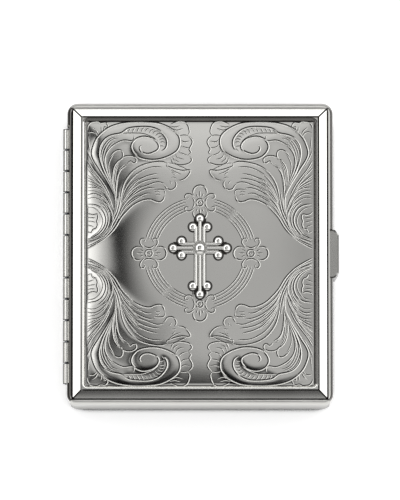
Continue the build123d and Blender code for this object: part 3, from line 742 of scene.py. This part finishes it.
def studio_world():
    """A light tent, which the camera itself sees as plain white. The metal mirrors it: overhead an opening with a
    dark rig, a collar round that, a lit wall that is dark in front, and a dim skirt."""
    world = bpy.data.worlds.new("studio")
    bpy.context.scene.world = world
    world.use_nodes = True
    tree = world.node_tree
    tree.nodes.clear()
    direction = add(tree, "ShaderNodeTexCoord").outputs["Generated"]
    split = add(tree, "ShaderNodeSeparateXYZ", (direction,)).outputs
    x, y, z = (split[axis] for axis in "XYZ")

    def band(value, *stops):
        """A level for each place along a direction: stops are (place from -1 to 1, level up to 4)."""
        half = add(tree, "ShaderNodeMapRange", (value, -1, 1))
        grey = add(tree, "ShaderNodeValToRGB", (half,), [((at + 1) / 2, level / 4) for at, level in stops])
        return add(tree, "ShaderNodeMath", (grey, 4.0), operation="MULTIPLY")

    def over(low, high, start, end):
        """The low part of the tent, then the high part above the given heights."""
        share = add(tree, "ShaderNodeMapRange", (z, start, end), interpolation_type="SMOOTHSTEP")
        return add(tree, "ShaderNodeMix", {"Factor": share, "A": low, "B": high}, data_type="FLOAT")

    # Overhead: mid-grey, with a bright strip to the left
    across = band(
        x, (-0.26, 1.2), (-0.2, 2.4), (-0.12, 3.0), (-0.10, 2.2), (-0.085, 1.25), (-0.07, 1.0), (0.05, 1.0),
        (0.1, 0.85), (0.25, 1.3),
    )
    # The rig's dark beam, just in front of the middle, from the left up to it
    along = band(
        y, (-0.3, 1.6), (-0.22, 1.2), (-0.12, 0.05), (0.008, 0.05), (0.022, 0.5), (0.036, 1.05), (0.055, 1.1),
        (0.1, 1.0), (0.14, 1.2), (0.19, 1.6), (0.28, 1.2),
    )
    beside = add(tree, "ShaderNodeMapRange", (x, 0.015, 0.07))
    along = add(tree, "ShaderNodeMix", {"Factor": beside, "A": along, "B": 1.0}, data_type="FLOAT")
    # Its bent arm behind the beam, which gives the panel its dark crescent
    bend = band(
        y, (0.0, 0.01), (0.022, 0.012), (0.04, 0.023), (0.059, 0.031), (0.08, 0.04), (0.107, 0.048),
        (0.132, 0.042), (0.15, 0.07),
    )
    reach = band(y, (0.02, 0.55), (0.06, 0.7), (0.107, 1.0))
    beyond = add(tree, "ShaderNodeMath", (x, bend), operation="ADD")
    beyond = add(tree, "ShaderNodeMath", (beyond, reach), operation="DIVIDE")
    shade = band(
        beyond, (-0.032, 1.0), (-0.024, 0.55), (-0.016, 0.05), (-0.005, 0.02), (0.003, 0.2), (0.012, 0.45),
        (0.022, 0.7), (0.035, 1.0),
    )
    overhead = across
    for part in (along, shade, OVERHEAD_LEVEL):
        overhead = add(tree, "ShaderNodeMath", (overhead, part), operation="MULTIPLY")
    # Round it: dark to the upper left, light to the lower right, which gives every raised line its two sides
    slant = add(tree, "ShaderNodeVectorMath", (direction, (0.8, -0.6, 0.0)), operation="DOT_PRODUCT")
    collar = band(slant, (-0.3, 0.12), (-0.1, 0.3), (0.0, 0.6), (0.15, 1.3), (0.4, 1.5))
    front = band(
        y, (-0.92, 0.45), (-0.84, 0.45), (-0.80, 0.22), (-0.75, 0.13), (-0.69, 0.04), (-0.56, 0.03), (-0.50, 1.0),
    )
    wall = add(tree, "ShaderNodeMath", (front, WALL_LEVEL), operation="MULTIPLY")
    collar = add(tree, "ShaderNodeMath", (front, collar), operation="MULTIPLY")
    skirt = band(y, (-0.86, 1.1), (-0.70, 0.35))
    level = over(over(over(skirt, wall, *SKIRT_TOP), collar, *WALL_TOP), overhead, *COLLAR_TOP)
    seen = add(tree, "ShaderNodeLightPath").outputs["Is Camera Ray"]
    light = add(tree, "ShaderNodeBackground", {"Color": level, "Strength": 1.0})
    white = add(tree, "ShaderNodeBackground", {"Color": (1, 1, 1, 1), "Strength": 1.0})
    mix = add(tree, "ShaderNodeMixShader", (seen, light, white))
    add(tree, "ShaderNodeOutputWorld", {"Surface": mix})


def place_camera():
    """The camera leans a little towards the lower edge of the case, a long way up."""
    values = settings()
    data = bpy.data.cameras.new("camera")
    data.sensor_fit = "VERTICAL"
    data.sensor_height = 36.0
    data.lens = data.sensor_height * values.camera_distance / values.view_height
    camera = new_object("camera", data)
    target = Vector((0, CAMERA_AIM, CREST_Z))
    away = Vector((0, -math.sin(values.camera_tilt), math.cos(values.camera_tilt)))
    camera.location = target + away * values.camera_distance
    camera.rotation_euler = (values.camera_tilt, 0, 0)
    data.clip_start, data.clip_end = 0.05, 50.0
    bpy.context.scene.camera = camera


class MakePanels(bpy.types.Operator):
    """Makes the two stamped panels."""

    bl_idname = "cigarette_case.panels"
    bl_label = "Panels"

    def execute(self, context):
        material = polished_metal("stamped_nickel_silver", 0.05, panel_painted_shade, 0.01)
        for name, node, body in (("lid_plate", "front_panel", "lid"), ("back_plate", "back_panel", "back")):
            piece = panel_piece(name, node, material)
            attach(piece, body)
            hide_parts(node)
        return {"FINISHED"}


def chased_metal():
    """Chased lines: bright on their tops, dark along their feet, and with painted shade on the side turned from the
    light.
    """
    material, tree, shader = new_material("chased_nickel_silver")
    rise, across, facing = (
        add(tree, "ShaderNodeAttribute", attribute_name=name).outputs["Fac"] for name in ("rise", "across", "facing")
    )
    side = add(tree, "ShaderNodeMapRange", (facing, -0.5, 0.5, -1.0, 1.0))
    shaded = add(tree, "ShaderNodeMath", (across, side), operation="MULTIPLY")
    foot = add(tree, "ShaderNodeValToRGB", (rise,), [(0.0, 0.8), (0.35, 0.0)])
    # Painted shade on the flank that faces the shaded side
    flank = add(tree, "ShaderNodeValToRGB", (shaded,), [(0.0, 0.0), (0.12, 1.0)])
    share = add(tree, "ShaderNodeMath", (foot, flank), operation="MAXIMUM")
    bright = linear(settings().polish)
    connect(tree, shader, {
        "Metallic": 1.0,
        "Base Color": add(
            tree, "ShaderNodeMix", {"Factor": share, "A": bright, "B": patina_and_shade(DEEP)}, data_type="RGBA"
        ),
        "Roughness": add(tree, "ShaderNodeValToRGB", (rise,), [(0.05, 0.4), (0.4, 0.14)]),
    })
    return material


class MakeOrnament(bpy.types.Operator):
    """Makes the chased scrolls of both panels, and the ring with its rosettes."""

    bl_idname = "cigarette_case.ornament"
    bl_label = "Ornament"

    def execute(self, context):
        material = chased_metal()
        for name, node, body, strokes in (
            ("lid_scrolls", "front_panel", "lid", corner_strokes()),
            ("lid_ring", "front_panel", "lid", ring_strokes()),
            ("back_scrolls", "back_panel", "back", corner_strokes()),
        ):
            piece = lines_piece(name, strokes, node, material)
            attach(piece, body)
        return {"FINISHED"}


FINISHES = {
    "rim": ("front_frame", "back_frame"),
    "hinge": ("front_hinge_leaf", "back_hinge_leaf"),
    "button": ("thumb_button",),
    "ornament": ("cross_ornament", "cross_stud"),
    "satin": (
        "front_liner", "back_liner", "front_clip_bracket", "back_clip_bracket", "front_clip_arm", "back_clip_arm",
    ),
    "steel": (
        "button_rivets", "catch_bar", "upper_keeper", "lower_keeper", "front_clip_rivets",
        "back_clip_rivets", "front_clip_pin", "back_clip_pin",
    ),
    "spring": ("hinge_pin", "catch_spring", "front_clip_spring", "back_clip_spring"),
}


# How dark the painted shade is in the deepest grooves and joints, and on the chased lines
DEEP = 0.25
# The rim, in from its outline: its roll, the crest, the groove in it, the lip beyond it, and the end walls
RIM_ROLL = 1.7 * MM
CREST_INSET = 4.25 * MM
GROOVE_INSET = 4.45 * MM
LIP_INSET = (4.6 * MM, 4.75 * MM)
END_WALL = 1.55 * MM
# Where the painted shade of the fine dark lines fades, as the light falls there: y at the top, x at the left
ROLL_LIT_TOP = (44.8 * MM, 45.0 * MM)
GROOVE_LIT_LEFT = (-36.5 * MM, -36.2 * MM)
HINGE_SIDE = -39.4 * MM
KNUCKLE_LENGTHS = 12
# How far in from its end, and from its outer side, the thumb button's painted dark edge cuts the corner
CUT_END = 1.1 * MM
CUT_SIDE = 1.7 * MM


def inset_from(tree, place, half_width, half_length):
    """How far each point lies in from the sides and from the ends of an outline, with its x, y and z."""
    at = add(tree, "ShaderNodeSeparateXYZ", (place,)).outputs
    insets = []
    for axis, half in (("X", half_width), ("Y", half_length)):
        size = add(tree, "ShaderNodeMath", (at[axis],), operation="ABSOLUTE")
        insets.append(add(tree, "ShaderNodeMath", (half, size), operation="SUBTRACT"))
    return *insets, at


def near(tree, value, middle, reach, soft=0.75):
    """1 where a value is close to the middle of a range, and 0 out of its reach."""
    away = add(tree, "ShaderNodeMath", (value, middle), operation="SUBTRACT")
    away = add(tree, "ShaderNodeMath", (away,), operation="ABSOLUTE")
    return add(tree, "ShaderNodeMapRange", (away, reach * soft, reach, 1.0, 0.0))


# The painted shade: each function returns shares of the dark colour from 0 to 1, each with its depth, and may change
# the look.


def panel_painted_shade(tree, place, look):
    """Paints shade into the joint round the panel, less at its left edge, where the light falls."""
    sides, ends, at = inset_from(tree, place, WINDOW.x, WINDOW.y)
    inset = add(tree, "ShaderNodeMath", (sides, ends), operation="MINIMUM")
    # Painted shade along the joint, lighter at the left edge where the light falls
    joint = near(tree, inset, 0.0, 0.35 * MM)
    lit_panel_left = add(tree, "ShaderNodeMapRange", (at["X"], -WINDOW.x, 1 * MM - WINDOW.x, 0.25, 1.0))
    return [(add(tree, "ShaderNodeMath", (joint, lit_panel_left), operation="MULTIPLY"), 1.0)]


def rim_painted_shade(tree, place, look):
    """Paints shade into the rim's fine grooves and mitres, onto its rolls, its lip and its end walls; dulls its end
    walls, and swells the bevel.
    """
    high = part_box("front_frame")[1]
    sides, ends, at = inset_from(tree, place, high.x, high.y)
    inset = add(tree, "ShaderNodeMath", (sides, ends), operation="MINIMUM")
    across = add(tree, "ShaderNodeMath", (sides, ends), operation="SUBTRACT")
    long_side = add(tree, "ShaderNodeMath", (across, 0.0), operation="LESS_THAN")
    short_side = add(tree, "ShaderNodeMath", (1.0, long_side), operation="SUBTRACT")
    # Painted shade: fine dark lines on both sides of the bevel and at the mitres, paler at the top and at the left,
    # where the light falls
    lit_roll_top = add(tree, "ShaderNodeMapRange", (at["Y"], *ROLL_LIT_TOP, 1.0, 0.25))
    lit_groove_left = add(tree, "ShaderNodeMapRange", (at["X"], *GROOVE_LIT_LEFT, 0.45, 1.0))
    groove_shade = 0.0
    for line, strength in (
        (near(tree, inset, RIM_ROLL, 0.26 * MM), lit_roll_top),
        (near(tree, inset, GROOVE_INSET, 0.28 * MM), lit_groove_left),
        (near(tree, across, 0.0, 0.40 * MM), near(tree, inset, 3.0 * MM, 1.7 * MM)),
    ):
        line = add(tree, "ShaderNodeMath", (line, strength), operation="MULTIPLY")
        groove_shade = add(tree, "ShaderNodeMath", (groove_shade, line), operation="MAXIMUM")
    between = near(tree, at["Z"], CREST_Z / 2, 8.9 * MM, 0.98)
    groove_shade = add(tree, "ShaderNodeMath", (groove_shade, between), operation="SUBTRACT", use_clamp=True)
    # Painted shade on the lip down to the panel, where it looks towards the lower edge of the picture
    lip = add(tree, "ShaderNodeMapRange", (inset, *LIP_INSET, 0.0, 0.85))
    normal = add(tree, "ShaderNodeTexCoord").outputs["Normal"]
    turned = add(tree, "ShaderNodeVectorMath", (normal, (-4.0, -16.0, 0.0)), operation="DOT_PRODUCT")
    lip = add(tree, "ShaderNodeMath", (lip, add(tree, "ShaderNodeClamp", (turned,))), operation="MULTIPLY")
    # Painted shade on the rolls of the long sides, darker outwards and by the hinge; none on the flat walls between
    # them
    side = add(tree, "ShaderNodeMapRange", (inset, 0.1 * MM, 1.9 * MM, 0.95, 0.3))
    by_hinge = add(tree, "ShaderNodeMath", (at["X"], HINGE_SIDE), operation="LESS_THAN")
    side = add(tree, "ShaderNodeMath", (by_hinge, 0.3, side), operation="MULTIPLY_ADD")
    on_roll = add(tree, "ShaderNodeMath", (sides, RIM_ROLL), operation="LESS_THAN")
    on_roll = add(tree, "ShaderNodeMath", (on_roll, long_side), operation="MULTIPLY")
    on_wall = near(tree, at["Z"], CREST_Z / 2, 8.4 * MM, 0.95)
    on_roll = add(tree, "ShaderNodeMath", (on_roll, on_wall), operation="SUBTRACT", use_clamp=True)
    side = add(tree, "ShaderNodeMath", (side, on_roll), operation="MULTIPLY", use_clamp=True)
    # Painted shade on the end walls, darker downwards, and on the far one all over
    on_end = add(tree, "ShaderNodeMath", (ends, END_WALL), operation="LESS_THAN")
    on_end = add(tree, "ShaderNodeMath", (on_end, short_side), operation="MULTIPLY")
    end = add(tree, "ShaderNodeMapRange", (at["Z"], 4.0 * MM, 19.8 * MM, 0.7, 0.12))
    far = add(tree, "ShaderNodeMath", (at["Y"], 0.0), operation="GREATER_THAN")
    end = add(tree, "ShaderNodeMath", (far, 0.25, end), operation="MULTIPLY_ADD")
    end = add(tree, "ShaderNodeMath", (end, on_end), operation="MULTIPLY")
    side = add(tree, "ShaderNodeMath", (side, end), operation="MAXIMUM")
    look["Roughness"] = add(tree, "ShaderNodeMath", (on_end, 0.2, look["Roughness"]), operation="MULTIPLY_ADD")
    # The bevel is a little round across
    bevel = add(tree, "ShaderNodeMapRange", (inset, RIM_ROLL, CREST_INSET, -1.0, 1.0))
    hollow = add(tree, "ShaderNodeMath", (bevel, bevel), operation="MULTIPLY")
    arch = add(tree, "ShaderNodeMath", (1.0, hollow), operation="SUBTRACT")
    look["Normal"] = add(tree, "ShaderNodeBump", {"Height": arch, "Distance": 0.03 * MM, "Normal": look["Normal"]})
    return [(lip, 1.0), (side, 1.0), (groove_shade, DEEP)]


def hinge_painted_shade(tree, place, look):
    """Paints shade into the joints between the knuckles and onto the outer flank of the barrel."""
    low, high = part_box("hinge_pin")
    pitch = (high.y - low.y) / KNUCKLE_LENGTHS
    at = add(tree, "ShaderNodeSeparateXYZ", (place,)).outputs
    folded = add(tree, "ShaderNodeMath", (at["Y"], pitch / 2), operation="PINGPONG")
    # Painted shade in the joints between the knuckles
    joint = near(tree, folded, 0.0, 0.40 * MM)
    # The knuckle in the middle is two lengths long, and the leaves have no joints
    size = add(tree, "ShaderNodeMath", (at["Y"],), operation="ABSOLUTE")
    off_middle = add(tree, "ShaderNodeMath", (size, pitch / 2), operation="GREATER_THAN")
    for share in (off_middle, near(tree, at["Z"], CREST_Z / 2, 1.4 * MM, 0.95)):
        joint = add(tree, "ShaderNodeMath", (joint, share), operation="MULTIPLY")
    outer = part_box("back_hinge_leaf")[0].x
    # Painted shade along the barrel's outer flank
    flank = add(tree, "ShaderNodeMapRange", (at["X"], outer + 0.15 * MM, outer + 0.5 * MM, 0.9, 0.0))
    return [(add(tree, "ShaderNodeMath", (joint, flank), operation="MAXIMUM"), DEEP)]


def button_painted_shade(tree, place, look):
    """Paints shade onto the edges of the thumb button, and darkens its whole face a little."""
    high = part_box("thumb_button")[1]
    at = add(tree, "ShaderNodeSeparateXYZ", (place,)).outputs
    size = add(tree, "ShaderNodeMath", (at["Y"],), operation="ABSOLUTE")
    # How far a point lies inside the end, the outer side and the cut corner between them
    end = add(tree, "ShaderNodeMath", (high.y, size), operation="SUBTRACT")
    side = add(tree, "ShaderNodeMath", (high.x, at["X"]), operation="SUBTRACT")
    slope = add(tree, "ShaderNodeMath", (side, CUT_END / CUT_SIDE, end), operation="MULTIPLY_ADD")
    corner = add(tree, "ShaderNodeMath", (slope, CUT_END), operation="SUBTRACT")
    inset = add(tree, "ShaderNodeMath", (end, side), operation="MINIMUM")
    inset = add(tree, "ShaderNodeMath", (inset, corner), operation="MINIMUM")
    # Painted shade along the edges, fading to a slight darkening of the whole face
    return [(add(tree, "ShaderNodeMapRange", (inset, 0.15 * MM, 0.5 * MM, 0.95, 0.28)), 1.0)]


def cross_painted_shade(tree, place, look):
    """Paints shade onto the lowest parts of the cross, round its foot."""
    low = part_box("cross_ornament")[0].z
    height = add(tree, "ShaderNodeSeparateXYZ", (place,)).outputs["Z"]
    # Painted shade up to about 1 mm above the cross's foot
    return [(add(tree, "ShaderNodeMapRange", (height, low + 0.68 * MM, low + 0.98 * MM, 1.0, 0.0)), 1.0)]


class FinishMetal(bpy.types.Operator):
    """Gives every piece of the case its metal."""

    bl_idname = "cigarette_case.metal"
    bl_label = "Metal"

    def execute(self, context):
        values = settings()
        # The brushed metals' last value is how many lines fit in a metre along x, y and z: 0.1 to 0.25 mm apart
        materials = {
            "rim": polished_metal("stamped_nickel_plate", 0.14, rim_painted_shade),
            "hinge": polished_metal("polished_nickel_plate", 0.15, hinge_painted_shade),
            "button": polished_metal("rubbed_nickel_plate", 0.2, button_painted_shade),
            "ornament": polished_metal("polished_cast_nickel", 0.16, cross_painted_shade),
            "satin": brushed_metal("satin_nickel_silver", values.satin, 0.32, (9000, 250, 9000)),
            "steel": brushed_metal("bright_drawn_steel", values.steel, 0.28, (6000, 600, 6000)),
            "spring": brushed_metal("blued_spring_steel", values.spring, 0.30, (4000, 4000, 900)),
        }
        for finish, nodes in FINISHES.items():
            for node in nodes:
                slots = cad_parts[node].data.materials
                slots.clear()
                slots.append(materials[finish])
        return {"FINISHED"}


def bending_spring(name, node):
    """A spring: a merged copy of the CAD node's mesh, with its finish, which takes the node's place."""
    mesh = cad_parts[node].data.copy()
    mesh.name = name
    work = bmesh.new()
    work.from_mesh(mesh)
    bmesh.ops.remove_doubles(work, verts=work.verts, dist=0.001 * MM)
    bmesh.ops.recalc_face_normals(work, faces=work.faces)
    work.to_mesh(mesh)
    work.free()
    piece = new_object(name, mesh)
    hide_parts(node)
    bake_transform(piece)


class MakeSprings(bpy.types.Operator):
    """Makes the springs from the CAD nodes."""

    bl_idname = "cigarette_case.springs"
    bl_label = "Springs"

    def execute(self, context):
        bending_spring("catch_leaf_spring", "catch_spring")
        for half, body in (("back", "back"), ("front", "lid")):
            bending_spring(
                half + "_torsion_spring", half + "_clip_spring",
            )
        return {"FINISHED"}


OPERATORS = (MakeStage, MakePanels, MakeOrnament, FinishMetal, MakeSprings)


class CigaretteCasePanel(bpy.types.Panel):
    """Lists the operators and the settings."""

    bl_label = "Cigarette Case"
    bl_idname = "VIEW3D_PT_cigarette_case"
    bl_space_type = "VIEW_3D"
    bl_region_type = "UI"
    bl_category = "Cigarette Case"

    def draw(self, context):
        values = context.scene.cigarette_case
        for name in values.bl_rna.properties.keys():
            if name not in {"rna_type", "name"}:
                self.layout.prop(values, name)
        for operator in OPERATORS:
            self.layout.operator(operator.bl_idname)


CLASSES = (CigaretteCaseSettings, *OPERATORS, CigaretteCasePanel)


def register():
    """Adds the classes and the settings."""
    for cls in CLASSES:
        bpy.utils.register_class(cls)
    bpy.types.Scene.cigarette_case = PointerProperty(type=CigaretteCaseSettings)


def unregister():
    """Removes the settings and the classes."""
    del bpy.types.Scene.cigarette_case
    for cls in reversed(CLASSES):
        bpy.utils.unregister_class(cls)


def main():
    """Makes the case."""
    register()
    for operator in OPERATORS:
        area, name = operator.bl_idname.split(".")
        getattr(getattr(bpy.ops, area), name)()


if __name__ == "__main__":
    main()
